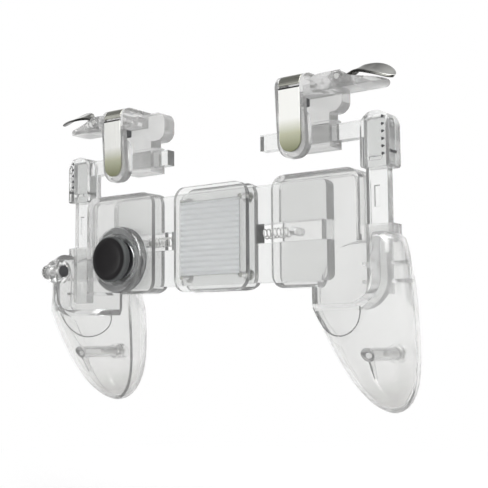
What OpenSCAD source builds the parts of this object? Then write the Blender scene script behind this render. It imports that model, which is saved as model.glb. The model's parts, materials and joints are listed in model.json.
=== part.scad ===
// Mobile game controller: two clear hollow grips that slide on a sprung bridge and clamp a phone held
// sideways, two trigger units that reach over the phone's top edge, and a stick-on thumb stick.
// X runs to the player's right, Y away from the player and Z up. The origin is the middle of the face
// on the bridge that the phone's back rests on.

/* [Phone space] */
// Length of the phone that the jaws are set for
phone_l = 143.6; // [138:0.1:150]
// Height of the phone between the ledges and the triggers
phone_h = 70.9; // [68:0.1:75]
// Thickness of the phone
phone_t = 7.7; // [7:0.1:9]
// Clearance round the phone
phone_gap = 0.4; // [0.2:0.1:0.6]
// Radius of the pocket's lower corners
pocket_r = 8; // [4:0.5:10]
// Height of the bridge's centre line above the ledges
ledge_drop = 26; // [25:0.5:28]

/* [Grips] */
// Width of a grip at the ledge
grip_w = 36.8; // [35:0.2:39]
// Depth of a grip at the ledge, front to back
grip_d = 31; // [29:0.5:34]
// Length of a grip below the ledge
grip_l = 37.3; // [34:0.1:42]
// Wall of the shells
wall = 2; // [1.6:0.1:2.4]
// Share of its width that a grip loses towards the tip
grip_taper = 0.42; // [0.3:0.01:0.5]
// How far the tip lies behind the middle of the ledge
grip_rake = 15.2; // [12:0.2:18]
// How far the tip lies outside the middle of the ledge
grip_splay = 2.9; // [0:0.1:5]
// How far the back of a grip is drawn towards the middle, per unit of depth
grip_skew = 0.13; // [0:0.01:0.2]
// From the pocket's end wall in to the middle of the grip
grip_inset = 10.2; // [9:0.1:11]
// From the phone's back plane to the middle of the grip
grip_back = 5.2; // [4.5:0.1:6]
// Thickness of the ledge
ledge_t = 2.4; // [1.6:0.1:3]
// Parting plane of the shells, behind the phone's back plane
part_y = 5; // [4.5:0.1:5.5]
// Lean of the parting plane below the ledge, back per unit down
part_lean = 0.38; // [0.3:0.01:0.45]

/* [Thumb recess and screw boss] */
// Radius of the half-moon thumb recess
recess_r = 10.6; // [8:0.1:12]
// Depth of the recess at its rim
recess_d = 0.8; // [0.5:0.1:1.2]
// From the pocket's end wall in to the middle of the recess
recess_inset = 14.4; // [13:0.1:16]
// Outer diameter of the front screw boss
boss_d = 4.6; // [4:0.1:6]
// From the pocket's end wall in to the boss
boss_inset = 6.1; // [4:0.1:8]
// Height of the boss below the ledge
boss_drop = 16.5; // [14:0.1:19]
// Depth behind the phone's back plane at which the two bosses meet
boss_meet = 19; // [17:0.1:20]
// Thread diameter of the grip screws
screw_d = 2.2; // [1.8:0.1:2.4]
// Head diameter of the grip screws
screw_head_d = 4.2; // [3.6:0.1:5]

/* [Jaws] */
// Height of a jaw above the ledge
jaw_h = 23; // [20:0.5:25]
// Rounding of the jaw's top
jaw_r = 4; // [3:0.5:6]
// Share of its width that a jaw loses towards its top
jaw_taper = 0.05; // [0:0.01:0.08]
// How far the lip covers the phone's face at the ledge
lip_low = 2.2; // [1:0.1:4]
// How far the lip's edge stands outside the end wall at the jaw's top
lip_high = 2.6; // [0:0.1:3]
// Thickness of the guide ribs in the jaw
rib_t = 1.2; // [0.8:0.1:2]
// Height of the collar round the post on the jaw's top
collar_h = 3; // [2:0.1:4]

/* [Sleeves and bridge] */
// Length of a sleeve behind the phone, in from the pocket's end wall
sleeve_l = 44; // [42:0.5:46]
// From the pocket's end wall in to the sleeve's outer end
sleeve_end = 8.5; // [8.5:0.1:9.5]
// Height of a sleeve
sleeve_h = 40; // [38:0.5:41]
// Depth of a sleeve
sleeve_d = 10; // [9.5:0.1:11]
// Clearance between sliding pieces
slide_gap = 0.4; // [0.3:0.05:0.6]
// Reach of the bridge's rails from the middle
rail_reach = 50; // [48:0.5:51]
// Width of the bridge's covers
cover_w = 34; // [30:0.5:35]
// Thickness of the phone pad
pad_t = 1; // [0.6:0.1:1.2]
// Width and height of the phone pad
pad_s = 28; // [20:0.5:28]
// Height of the spring slots
slot_h = 7; // [6:0.1:9]
// Diameter of the post that a sleeve pulls its spring with
peg_d = 3; // [2:0.1:4]
// From the pocket's end wall in to that post
peg_inset = 36; // [35:0.5:38]
// Coil diameter of the extension springs, at the wire's centre
spring_d = 3.8; // [3:0.1:4]
// Wire diameter of the extension springs
spring_wire = 0.6; // [0.4:0.05:0.7]
// Curls of each extension spring
spring_curls = 7; // [6:1:8]
// Thread diameter of the bridge's screws
cover_screw_d = 2; // [1.6:0.1:2.4]

/* [Arms] */
// Width of the upright post
post_w = 8; // [6:0.1:9]
// Thickness of the upright post and of the rail
post_t = 4; // [3:0.1:4.4]
// From the post's outer face back to the pocket's end wall
post_out = 0.9; // [0.5:0.1:1.2]
// How far the post reaches down below the jaw's top
post_foot = 20; // [16:0.5:24]
// Travel of the post each way
post_travel = 6; // [4:0.5:6]
// Width of the round-topped block
block_w = 11; // [10.5:0.1:11]
// Height of the round-topped block
block_h = 19; // [17:0.1:22]
// Rounding of the block's top
block_r = 5; // [3:0.1:6]
// Height of the rail
rail_h = 6; // [5:0.1:7]
// Length of the rail from the block
rail_l = 42; // [40:0.5:44]
// Depth of the rail's centre line below the phone's top
rail_drop = 11.9; // [11:0.1:13]

/* [Triggers] */
// Distance of the right trigger's tongue from the middle
trigger_x_right = 45.5; // [38:0.5:52]
// Distance of the left trigger's tongue from the middle
trigger_x_left = 36; // [34:0.5:52]
// Width of the tongue
tongue_w = 11.2; // [10.5:0.1:13]
// Front of the tongue ahead of the screen, at its top
tongue_front = 6.7; // [6:0.1:8]
// Reach of the tongue below the phone's top
tongue_drop = 22.3; // [18:0.1:26]
// Lean of the tongue towards the screen, in degrees
tongue_lean = 4; // [2:0.5:5]
// Thickness of the tongue
tongue_t = 2.2; // [1.8:0.1:2.6]
// Thickness of the housing over the phone's top
arch_t = 6.3; // [5:0.1:8]
// Radius of the arch at its front
arch_r = 4.6; // [3:0.1:5]
// Width of the metal strip
strip_w = 8.4; // [7:0.1:9]
// Thickness of the metal strip and plate
strip_t = 0.8; // [0.6:0.1:1]
// How far the strip stands off at its foot, in degrees
strip_lift = 2.5; // [0:0.1:4]
// Gap between the strip and the top plate
strip_gap = 0.7; // [0.4:0.1:1.5]
// Reach of the top plate behind the screen
plate_reach = 4; // [2:0.1:5]
// Height of the dark edge pad
edge_pad_h = 2.8; // [2:0.1:3.4]
// Clearance between the pads and the screen
screen_gap = 0.3; // [0.1:0.1:0.6]
// Length of the beam from the tongue's middle to its nose
beam_l = 31.5; // [30:0.1:34]
// Depth of the beam, front to back
beam_d = 13.4; // [12.5:0.1:15]
// Front of the beam ahead of the screen
beam_ahead = 2; // [1.4:0.1:3]
// Height of the beam
beam_h = 6.2; // [6.1:0.1:7.4]
// Inner half width of the rear jaw
rear_in = 14; // [11:0.1:16]
// Outer half width of the rear jaw
rear_out = 12; // [9:0.1:15]
// Reach of the rear jaw below the phone's top
rear_drop = 5; // [4:0.1:5.5]
// Thickness of the rear jaw
rear_t = 6; // [5:0.1:7]
// Half width of the carriage on the rail
carriage_w = 7; // [6:0.1:8]
// Wall of the carriage round the rail
carriage_wall = 1.7; // [1.2:0.1:2]

/* [Levers] */
// From the tongue's middle out to the lever's pin
pin_u = 15.5; // [14.5:0.1:16.5]
// Height of the pin above the phone's top
pin_up = 4.1; // [4:0.1:4.4]
// Diameter of the pin
pin_d = 2; // [1.6:0.1:2.2]
// Running clearance round the pin
pin_gap = 0.05; // [0.02:0.01:0.1]
// Outer diameter of the lever's hub
hub_d = 4.2; // [4:0.1:4.4]
// Width of the hub
hub_w = 3.6; // [3:0.1:4]
// Thickness of the lever at its neck
lever_t = 1.4; // [1:0.1:1.6]
// Width of the lever's paddle
lever_w = 9.4; // [8:0.1:10]
// Width of the lever's neck
neck_w = 3.4; // [2.6:0.1:3.4]
// Reach of the paddle's tip from the pin
lever_reach = 19.6; // [18.5:0.1:21]
// Rise of the lever's crown above the pin
lever_rise = 2.1; // [2:0.1:2.8]
// From the pin out to the foot of the neck
neck_l = 3.8; // [3.6:0.1:4.2]
// From the pin out to the lever's crown
crown_u = 7.6; // [7.2:0.1:8.4]
// Height of the paddle's tip above the pin
lever_tip = -2.2; // [-2.6:0.1:-1]
// How far the paddle leans towards the player, in degrees
paddle_lean = 29; // [20:1:30]
// How far the left lever stands above the right one, which is drawn pressed, in degrees
lever_lift = 13; // [8:1:14]
// Coil diameter of the lever spring, at the wire's centre
coil_d = 3.4; // [3.2:0.1:3.5]
// Wire diameter of the lever spring
coil_wire = 0.4; // [0.3:0.05:0.5]
// Length of the lever spring
coil_l = 4; // [3.9:0.1:4.4]
// Curls of the lever spring
coil_curls = 2; // [2:1:2]

/* [Clamp knob] */
// Height of the knob above the ledge
knob_up = 16.2; // [14:0.1:17]
// Distance of the knob's axis ahead of the phone's back plane
knob_ahead = 4.6; // [3.5:0.1:5]
// Diameter of the knurled head
knob_d = 6; // [5:0.1:7]
// Length of the knurled head
knob_l = 3; // [2.4:0.1:5]
// Diameter of the knob's flange
flange_d = 7.6; // [7:0.1:9]
// Thickness of the knob's flange
flange_t = 1; // [0.8:0.1:2]
// Diameter of the stud
stud_d = 3; // [2:0.1:3.4]
// Diameter of the clamp shoe
shoe_d = 5; // [4:0.1:6]
// Thickness of the clamp shoe
shoe_t = 0.9; // [0.6:0.1:1.2]
// Grooves round the knurled head
knurls = 16; // [12:1:20]

/* [Thumb stick] */
// Distance of the stick from the middle
stick_x = 43; // [42.5:0.1:43.5]
// Height of the stick above the ledge
stick_up = 19.5; // [19.3:0.1:25]
// Outer diameter of the base ring
ring_d = 26.4; // [25:0.1:27]
// Height of the base ring
ring_h = 5.2; // [4.5:0.1:6]
// Inner diameter of the base ring
ring_bore = 20.4; // [20:0.1:21.4]
// Thickness of the seat pad
seat_t = 0.8; // [0.5:0.1:1]
// Thickness of the ring's floor
floor_t = 1.2; // [0.8:0.1:1.4]
// Thickness of the spring web
web_t = 0.8; // [0.6:0.1:1]
// Diameter of the stem
stem_d = 6.4; // [5:0.1:7]
// Diameter of the contact foot
foot_d = 7.4; // [6.8:0.1:8]
// Diameter of the cap
cap_d = 18; // [17:0.1:20]
// Height of the cap above its skirt
cap_h = 3.4; // [3:0.1:4.5]
// Rounding of the cap's rim
cap_r = 1.2; // [0.6:0.1:1.4]
// Dish in the cap's face
cap_dish = 0.5; // [0.2:0.1:0.8]
// Travel of the cap each way
stick_travel = 2.2; // [1.8:0.1:2.4]

/* [Hidden] */

$fn = 48;
RIGHT = 1;
LEFT = -1;
FAR = 200;
SEAT_GAP = 0.05;
FIT_GAP = 0.02;
CLEAR = [0.90, 0.92, 0.93, 0.45];
CLEAR_GREY = [0.76, 0.77, 0.78, 0.55];
STEEL = [0.80, 0.80, 0.78];
DARK = [0.16, 0.15, 0.16];

// Planes that the pieces line up with
ledge_z = -ledge_drop;
phone_top = ledge_z + phone_h;
screen_y = -phone_t;
end_x = phone_l / 2 + phone_gap;
jaw_top = ledge_z + jaw_h;
grip_x = end_x - grip_inset;

// Basic tools

module on_side(side) mirror([side < 0 ? 1 : 0, 0, 0]) children();

// Extrudes an outline drawn in X and Z between two Y planes
module span_y(y0, y1) translate([0, y1, 0]) rotate([90, 0, 0]) linear_extrude(y1 - y0) children();

// Extrudes an outline drawn in Y and Z between two X planes
module span_x(x0, x1) translate([x0, 0, 0]) rotate([90, 0, 90]) linear_extrude(x1 - x0) children();

module box(low, high) translate(low) cube(high - low);

module rod_y(x, z, y0, y1, d) translate([x, y1, z]) rotate([90, 0, 0]) cylinder(d = d, h = y1 - y0);

module round_rect(low, high, r) {
    translate(low + [r, r]) offset(r = r, $fn = 32) square(high - low - [2 * r, 2 * r]);
}

function flip(list) = [for (i = [len(list) - 1 : -1 : 0]) list[i]];

function unit(v) = v / norm(v);

function arc(centre, r, from, to, steps) =
    [for (i = [0 : steps]) let (a = from + (to - from) * i / steps) centre + r * [cos(a), sin(a)]];

// Cubic curve through p[0] and p[3], with its first points left off on request
function bezier(p, steps, skip = 0) =
    [for (i = [skip : steps]) let (t = i / steps, s = 1 - t)
        s * s * s * p[0] + 3 * s * s * t * p[1] + 3 * s * t * t * p[2] + t * t * t * p[3]];

// The path moved sideways, to its left
function beside(path, d) =
    [for (i = [0 : len(path) - 1])
        let (a = path[max(i - 1, 0)], b = path[min(i + 1, len(path) - 1)], t = unit(b - a))
        path[i] + d * [-t[1], t[0]]];

function band(path, d0, d1) = concat(beside(path, d0), flip(beside(path, d1)));

// Skin over a list of rings with the same number of points, wound anticlockwise from the first ring's end
module skin(rings) {
    n = len(rings[0]);
    sides = [for (i = [0 : len(rings) - 2], j = [0 : n - 1])
        let (k = (j + 1) % n, a = i * n, b = a + n)
        each [[a + j, b + j, b + k], [a + j, b + k, a + k]]];
    last = (len(rings) - 1) * n;
    caps = [[for (j = [0 : n - 1]) j], [for (j = [n - 1 : -1 : 0]) last + j]];
    polyhedron([for (r = rings) each r], concat(sides, caps));
}

// Grip form: rings of a rounded section from the tip up to the jaw's top

GRIP_SIDES = 36;
GRIP_STEPS = 11;
TIP_ANGLE = 4;
TOP_SQUARE = 2.5;
TIP_SQUARE = 2;
WIDTH_POWER = 5;
DEPTH_POWER = 2.4;
jaw_rear = sleeve_d + 1;
jaw_draw = grip_back + grip_d / 2 - jaw_rear;

function ease(s) = (1 - cos(180 * s)) / 2;

function below(z) = max(0, (ledge_z - z) / grip_l);

function above(z) = max(0, (z - ledge_z) / jaw_h);

function section_x(z) = grip_x + grip_splay * below(z);

function section_y(z) = grip_back + grip_rake * below(z) - jaw_draw / 2 * ease(above(z));

function section_power(z) = TOP_SQUARE + (TIP_SQUARE - TOP_SQUARE) * below(z);

function skew(z) = grip_skew * (1 - above(z));

// Half width and half depth of the form, drawn in by e, at height z
function half_w(z, e) =
    let (t = max(0, (ledge_z - z) / (grip_l - e)))
    (grip_w / 2 * (1 - jaw_taper * above(z)) - e) * (1 - grip_taper * t)
        * sqrt(max(0, 1 - pow(t, WIDTH_POWER)));

function half_d(z, e) =
    let (t = max(0, (ledge_z - z) / (grip_l - e)))
    ((grip_d - jaw_draw * ease(above(z))) / 2 - e) * sqrt(max(0, 1 - pow(t, DEPTH_POWER)));

function signed_power(v, p) = sign(v) * pow(abs(v), p);

function ring(z, e, extra = 0) =
    let (w = half_w(z, e) - extra, d = half_d(z, e) - extra, p = 2 / section_power(z))
    [for (j = [0 : GRIP_SIDES - 1])
        let (a = 360 * j / GRIP_SIDES, dx = w * signed_power(cos(a), p), dy = d * signed_power(sin(a), p))
        [section_x(z) + dx - skew(z) * dy, section_y(z) + dy, z]];

// Distance from the section's middle to its front or back, at x
function bulge(x, z, e) =
    let (p = section_power(z), u = abs(x - section_x(z)) / half_w(z, e))
    half_d(z, e) * pow(max(0, 1 - pow(u, p)), 1 / p);

function front_y(x, z, e) = section_y(z) - bulge(x - skew(z) * bulge(x, z, e), z, e);

function rear_y(x, z, e) = section_y(z) + bulge(x + skew(z) * bulge(x, z, e), z, e);

// Distance of the outer face from the middle, at depth y
function side_x(y, z) =
    let (p = section_power(z), dy = y - section_y(z))
    section_x(z) + half_w(z, 0) * pow(1 - pow(abs(dy) / half_d(z, 0), p), 1 / p) - skew(z) * dy;

module grip_form(e) {
    top = jaw_top - e;
    r = max(jaw_r - e, 0.5);
    low = [for (i = [0 : GRIP_STEPS])
        let (a = TIP_ANGLE + (90 - TIP_ANGLE) * i / GRIP_STEPS)
        ring(ledge_z - (grip_l - e) * cos(a), e)];
    mid = [for (s = [1 / 3, 2 / 3]) ring(ledge_z + (top - r - ledge_z) * s, e)];
    high = [for (a = [0 : 30 : 90]) ring(top - r + r * sin(a), e, r * (1 - cos(a)))];
    skin(concat(low, mid, high));
}

// Space for the phone's end, grown by e into the walls round it
module pocket(e) {
    r = pocket_r + e;
    span_y(-FAR, e) {
        translate([-FAR, ledge_z - e + r]) square([FAR + end_x + e, FAR]);
        translate([-FAR, ledge_z - e]) square([FAR + end_x + e - r, FAR]);
        translate([end_x + e - r, ledge_z - e + r]) circle(r = r);
    }
}

lip_y = screen_y - phone_gap;
LIP_STEP = 1;

// The pocket less the lip that covers the edge of the phone's face
module phone_cut() {
    difference() {
        pocket(0);
        span_y(-FAR, lip_y) polygon([
            [end_x - lip_low, ledge_z - FAR], [FAR, ledge_z - FAR], [FAR, FAR],
            [end_x + lip_high, jaw_top], [end_x - lip_low, ledge_z]
        ]);
    }
    span_y(-FAR, lip_y) polygon([
        [end_x - LIP_STEP, jaw_top + FAR], [end_x - LIP_STEP, ledge_z + jaw_h / 2],
        [end_x + lip_high, jaw_top], [end_x + lip_high, jaw_top + FAR]
    ]);
}

recess_x = end_x - recess_inset;
recess_in_y = front_y(recess_x - recess_r, ledge_z, 0);
recess_out_y = front_y(recess_x + recess_r, ledge_z, 0);
recess_foot_y = front_y(recess_x, ledge_z - recess_r, 0);
recess_lean_x = (recess_out_y - recess_in_y) / (2 * recess_r);
recess_lean_z = ((recess_in_y + recess_out_y) / 2 - recess_foot_y) / recess_r;

// Floor of the recess: a plane that leans with the front of the grip
function recess_y(x, z) =
    recess_foot_y + recess_d + recess_lean_x * (x - recess_x) + recess_lean_z * (z - ledge_z + recess_r);

// Half-moon thumb recess under the ledge, grown by e
module thumb_recess(e) {
    reach = 2 * recess_r;
    intersection() {
        span_y(-FAR, FAR) intersection() {
            translate([recess_x, ledge_z]) circle(r = recess_r + e);
            translate([-FAR, ledge_z - FAR]) square([2 * FAR, FAR - ledge_t + e]);
        }
        skin([for (z = [ledge_z - reach, ledge_z + reach]) [
            [recess_x - reach, -FAR, z], [recess_x + reach, -FAR, z],
            [recess_x + reach, recess_y(recess_x + reach, z) + e, z],
            [recess_x - reach, recess_y(recess_x - reach, z) + e, z]
        ]]);
    }
}

// Sleeve, which each half slides on the bridge's rail with
sleeve_in = end_x - sleeve_l;
sleeve_out = end_x - sleeve_end;
SLEEVE_R = 5;
BACK_R = 2.5;

// Side view of the sleeves and the bridge, rounded along the back
module sleeve_profile() round_rect([-BACK_R, -sleeve_h / 2], [sleeve_d, sleeve_h / 2], BACK_R);

module sleeve() {
    intersection() {
        span_y(0, sleeve_d) round_rect([sleeve_in, -sleeve_h / 2], [sleeve_out, sleeve_h / 2], SLEEVE_R);
        span_x(sleeve_in, sleeve_out) sleeve_profile();
    }
}

module sleeve_cavity() {
    span_y(wall, sleeve_d - wall)
        round_rect([-FAR, wall - sleeve_h / 2], [sleeve_out - wall, sleeve_h / 2 - wall], SLEEVE_R - wall);
}

// Upright post through the jaw's top
post_x = end_x + post_out;
post_y = wall + slide_gap;
rail_z = phone_top - rail_drop;
block_top = rail_z + rail_h / 2 + wall;
post_top = block_top - wall - FIT_GAP;
post_low = jaw_top - post_foot;

module post_bar(gap, z0, z1) {
    box([post_x - post_w - gap, post_y - gap, z0], [post_x + gap, post_y + post_t + gap, z1]);
}

// Collar that stands on the jaw's top round the post
module post_collar() {
    edge = slide_gap + wall;
    translate([0, 0, jaw_top - jaw_r]) linear_extrude(collar_h + jaw_r)
        round_rect([post_x - post_w - edge, post_y - edge], [post_x + edge, post_y + post_t + edge], wall);
}

RIB_SHARES = [0.28, 0.54];
rib_z = [for (s = RIB_SHARES) ledge_z + jaw_h * s];

// Hollow inside of a half, with the guide ribs for the post left standing
module half_cavity() {
    difference() {
        grip_form(wall);
        pocket(wall);
        thumb_recess(wall);
        for (z = rib_z) box([end_x - sleeve_end, wall, z], [FAR, FAR, z + rib_t]);
    }
    sleeve_cavity();
}

module half_body() {
    difference() {
        union() {
            grip_form(0);
            sleeve();
            post_collar();
        }
        phone_cut();
        thumb_recess(0);
        half_cavity();
        post_bar(slide_gap, post_low - post_travel - slide_gap, FAR);
    }
}

// Everything ahead of the parting plane, which leans back below the ledge
module ahead_of_parting() {
    span_x(-FAR, FAR) polygon([
        [-FAR, -FAR], [-FAR, FAR], [part_y, FAR], [part_y, ledge_z],
        [part_y + part_lean * (FAR + ledge_z), -FAR]
    ]);
}

boss_x = end_x - boss_inset;
boss_z = ledge_z - boss_drop;
boss_front = front_y(boss_x, boss_z, 0) + wall * 3 / 4;
boss_rear = rear_y(boss_x, boss_z, 0) - wall / 2;
boss_wall = (boss_d - screw_d) / 2;
rear_boss_d = screw_head_d + 2 * boss_wall;
HEAD_SINK = 3;
head_seat = boss_rear - HEAD_SINK;
RIB_DROP = 8;
RIB_T = 0.8;
rib_foot_y = front_y(boss_x, boss_z - RIB_DROP, 0) + wall / 2;

knob_z = ledge_z + knob_up;
knob_y = -knob_ahead;
jaw_face = side_x(knob_y, knob_z);

// Bore for the stud, pocket for the shoe and spot face for the flange
module knob_bore() {
    translate([end_x - 1, knob_y, knob_z]) rotate([0, 90, 0]) {
        cylinder(d = stud_d + 2 * pin_gap, h = FAR);
        cylinder(d = shoe_d + 2 * slide_gap, h = 1 + shoe_t + slide_gap);
        translate([0, 0, jaw_face - end_x + 1]) cylinder(d = flange_d + 2 * slide_gap, h = FAR);
    }
}

// Sleeve of wall that the stud runs in between the pocket and the outer skin
module knob_boss() {
    translate([end_x, knob_y, knob_z]) rotate([0, 90, 0])
        cylinder(d = shoe_d + 2 * slide_gap + 2 * wall, h = jaw_face - end_x - wall / 2);
}

module front_shell(side) {
    on_side(side) color(CLEAR) difference() {
        union() {
            intersection() {
                half_body();
                ahead_of_parting();
            }
            rod_y(boss_x, boss_z, boss_front, boss_meet, boss_d);
            span_x(boss_x - RIB_T / 2, boss_x + RIB_T / 2) polygon([
                [boss_front, boss_z], [boss_front + 2 * wall, boss_z],
                [rib_foot_y + wall, boss_z - RIB_DROP], [rib_foot_y, boss_z - RIB_DROP]
            ]);
            if (side == LEFT) intersection() {
                knob_boss();
                ahead_of_parting();
            }
        }
        rod_y(boss_x, boss_z, boss_front + wall, FAR, screw_d);
        if (side == LEFT) knob_bore();
    }
}

module rear_shell(side) {
    on_side(side) color(CLEAR) difference() {
        union() {
            difference() {
                half_body();
                ahead_of_parting();
            }
            rod_y(boss_x, boss_z, boss_meet + SEAT_GAP, boss_rear, rear_boss_d);
            rod_y(end_x - peg_inset, 0, wall + slide_gap, sleeve_d - wall / 2, peg_d);
        }
        rod_y(boss_x, boss_z, 0, FAR, screw_d + 2 * slide_gap);
        rod_y(boss_x, boss_z, head_seat, FAR, screw_head_d + 2 * slide_gap);
    }
}

SCREW_HEAD_H = 1.6;
SCREW_BITE = 8;
DRIVE_D = 2;

module grip_screw(side) {
    on_side(side) color(STEEL) difference() {
        union() {
            rod_y(boss_x, boss_z, boss_meet - SCREW_BITE, head_seat, screw_d - 2 * FIT_GAP);
            rod_y(boss_x, boss_z, head_seat, head_seat + SCREW_HEAD_H, screw_head_d);
        }
        translate([boss_x, head_seat + SCREW_HEAD_H / 2, boss_z]) rotate([-90, 0, 0])
            cylinder(d = DRIVE_D, h = FAR, $fn = 6);
    }
}

// Bridge: frame with rails, covers, pad and springs
frame_y0 = wall + slide_gap;
frame_y1 = sleeve_d - wall - slide_gap;
frame_h = sleeve_h - 2 * wall - 2 * slide_gap;
SLOT_MARGIN = 3;
slot_in = cover_w / 2 + SLOT_MARGIN;
slot_out = rail_reach - wall;
spring_y = (frame_y0 + frame_y1) / 2;
SCREW_INSET = 3.2;
screw_at = [cover_w / 2 - SCREW_INSET, frame_h / 2 - SCREW_INSET];

module bridge_screw_places() {
    for (x = [-screw_at[0], screw_at[0]], z = [-screw_at[1], screw_at[1]]) translate([x, 0, z]) children();
}

module bridge_frame() {
    color(CLEAR) difference() {
        span_y(frame_y0, frame_y1) difference() {
            round_rect([-rail_reach, -frame_h / 2], [rail_reach, frame_h / 2], SLEEVE_R - wall - slide_gap);
            for (side = [RIGHT, LEFT]) scale([side, 1])
                translate([slot_in, -slot_h / 2]) square([slot_out - slot_in, slot_h]);
        }
        bridge_screw_places() rod_y(0, 0, frame_y0 - 1, frame_y1 + 1, cover_screw_d + 2 * FIT_GAP);
    }
}

module cover_plate(y0, y1) {
    intersection() {
        span_y(y0, y1) round_rect([-cover_w / 2, -sleeve_h / 2], [cover_w / 2, sleeve_h / 2], SLEEVE_R);
        span_x(-cover_w, cover_w) sleeve_profile();
    }
}

module bridge_front_cover() {
    color(CLEAR) difference() {
        cover_plate(0, frame_y0);
        box([-pad_s / 2 - FIT_GAP, -1, -pad_s / 2 - FIT_GAP],
            [pad_s / 2 + FIT_GAP, pad_t, pad_s / 2 + FIT_GAP]);
        bridge_screw_places() rod_y(0, 0, pad_t + (frame_y0 - pad_t) / 4, FAR, cover_screw_d + 2 * FIT_GAP);
    }
}

module phone_pad() {
    color([0.80, 0.82, 0.83]) box([-pad_s / 2, 0, -pad_s / 2], [pad_s / 2, pad_t, pad_s / 2]);
}

cover_head_y = sleeve_d - wall / 2;

module bridge_rear_cover() {
    color(CLEAR) difference() {
        cover_plate(frame_y1, sleeve_d);
        bridge_screw_places() {
            rod_y(0, 0, 0, FAR, cover_screw_d + 2 * FIT_GAP);
            rod_y(0, 0, cover_head_y, FAR, 2 * cover_screw_d + 2 * FIT_GAP);
        }
    }
}

module bridge_screws() {
    color(STEEL) bridge_screw_places() difference() {
        union() {
            rod_y(0, 0, pad_t + (frame_y0 - pad_t) / 2, cover_head_y, cover_screw_d);
            rod_y(0, 0, cover_head_y, sleeve_d, 2 * cover_screw_d);
        }
        translate([0, cover_head_y + wall / 4, 0]) rotate([-90, 0, 0])
            cylinder(d = cover_screw_d, h = FAR, $fn = 6);
    }
}

// Wound wire along X: rings of six points round a helix whose ends bend out along the axis
CURL_RINGS = 8;
WIRE_SIDES = 6;
BEND_STEPS = 4;

// Each entry is a point, the outward direction there and the direction of the path
function helix(r, pitch, curls) =
    [for (i = [0 : CURL_RINGS * curls]) let (a = 360 * i / CURL_RINGS)
        [[pitch * a / 360, r * cos(a), r * sin(a)], [0, cos(a), sin(a)],
         unit([pitch / (2 * PI * r), -sin(a), cos(a)])]];

function helix_end(entry, bend, lead, way) =
    let (p = entry[0], n = entry[1], t = way * unit([0, entry[2][1], entry[2][2]]), x = [way, 0, 0])
    concat(
        [for (i = [1 : BEND_STEPS]) let (a = 90 * i / BEND_STEPS)
            [p + bend * (sin(a) * t + (1 - cos(a)) * x), n, way * (cos(a) * t + sin(a) * x)]],
        [[p + bend * (t + x) + lead * x, n, way * x]]
    );

function wire_path(r, length, curls, wire) =
    let (bend = 1.2 * wire, pitch = (length - 2 * bend - 2 * wire) / curls, h = helix(r, pitch, curls))
    concat(flip(helix_end(h[0], bend, wire, -1)), h, helix_end(h[len(h) - 1], bend, wire, 1));

function wire_ring(entry, wire) =
    let (b = cross(entry[2], entry[1]))
    [for (j = [0 : WIRE_SIDES - 1]) let (a = 360 * j / WIRE_SIDES)
        entry[0] + wire / 2 * (cos(a) * entry[1] + sin(a) * b)];

// Least gap between curls, measured on the path's own points
function self_gap(path, wire) =
    min([for (i = [0 : len(path) - 1], j = [i + CURL_RINGS / 2 + 1 : 1 : len(path) - 1])
        norm(path[i][0] - path[j][0])]) - wire;

module wound_wire(r, length, curls, wire, name) {
    path = wire_path(r, length, curls, wire);
    first = path[0][0][0];
    echo(str("least gap of ", name), self_gap(path, wire));
    translate([-first, 0, 0]) skin([for (e = path) wire_ring(e, wire)]);
}

spring_l = end_x - peg_inset - peg_d / 2 - slot_in - 2 * slide_gap;

module bridge_spring(side) {
    on_side(side) color(STEEL) translate([slot_in + slide_gap, spring_y, 0])
        wound_wire(spring_d / 2, spring_l, spring_curls, spring_wire, "extension spring");
}

// Arm: post and round-topped block with its rail
block_low = block_top - block_h;
block_y1 = post_y + post_t + wall;
block_y0 = slide_gap;
block_x1 = post_x + wall;
block_x0 = block_x1 - block_w;
WINDOW_H = 1.2;
WINDOW_W = 5;
GROOVE_D = 0.6;
GROOVE_W = 2;

module post(side) {
    on_side(side) color(CLEAR) difference() {
        post_bar(0, post_low, post_top);
        box([post_x - (post_w + GROOVE_W) / 2, post_y - 1, jaw_top + collar_h + post_travel],
            [post_x - (post_w - GROOVE_W) / 2, post_y + GROOVE_D, block_low - post_travel]);
    }
}

module trigger_arm(side) {
    on_side(side) color(CLEAR) difference() {
        union() {
            span_y(block_y0, block_y1) {
                round_rect([block_x0, block_low + block_r], [block_x1, block_top], block_r);
                round_rect([block_x0, block_low], [block_x1, block_top - block_r], wall / 2);
            }
            box([block_x0 - rail_l, post_y, rail_z - rail_h / 2],
                [block_x0 + 1, post_y + post_t, rail_z + rail_h / 2]);
        }
        post_bar(FIT_GAP, post_low, post_top + FIT_GAP);
        box([post_x - WINDOW_W - WINDOW_H, -FAR, block_low + 2 * WINDOW_H],
            [post_x - WINDOW_H, post_y, block_low + 3 * WINDOW_H]);
    }
}

// Trigger unit, drawn round the tongue's middle with its beam pointing out
function trigger_x(side) = side == RIGHT ? trigger_x_right : trigger_x_left;

module in_trigger(side) on_side(side) translate([trigger_x(side), 0, 0]) children();

arch_low = phone_top + phone_gap;
arch_top = arch_low + arch_t;
tongue_top = arch_top - arch_r;
tongue_low = phone_top - tongue_drop;
front_top_y = screen_y - tongue_front;
function tongue_y(z) = front_top_y + (tongue_top - z) * tan(tongue_lean);
rear_y0 = slide_gap;
rear_y1 = rear_y0 + rear_t;
beam_y0 = screen_y - beam_ahead;
beam_y1 = beam_y0 + beam_d;
rear_low = phone_top - rear_drop;
pin_z = phone_top + pin_up;
plate_back = screen_y + plate_reach;
rail_gap = slide_gap;
carriage_y0 = post_y - rail_gap - carriage_wall;
carriage_y1 = post_y + post_t + rail_gap + carriage_wall;
carriage_z0 = rail_z - rail_h / 2 - rail_gap - carriage_wall;
carriage_z1 = rail_z + rail_h / 2 + rail_gap + carriage_wall;

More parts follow.
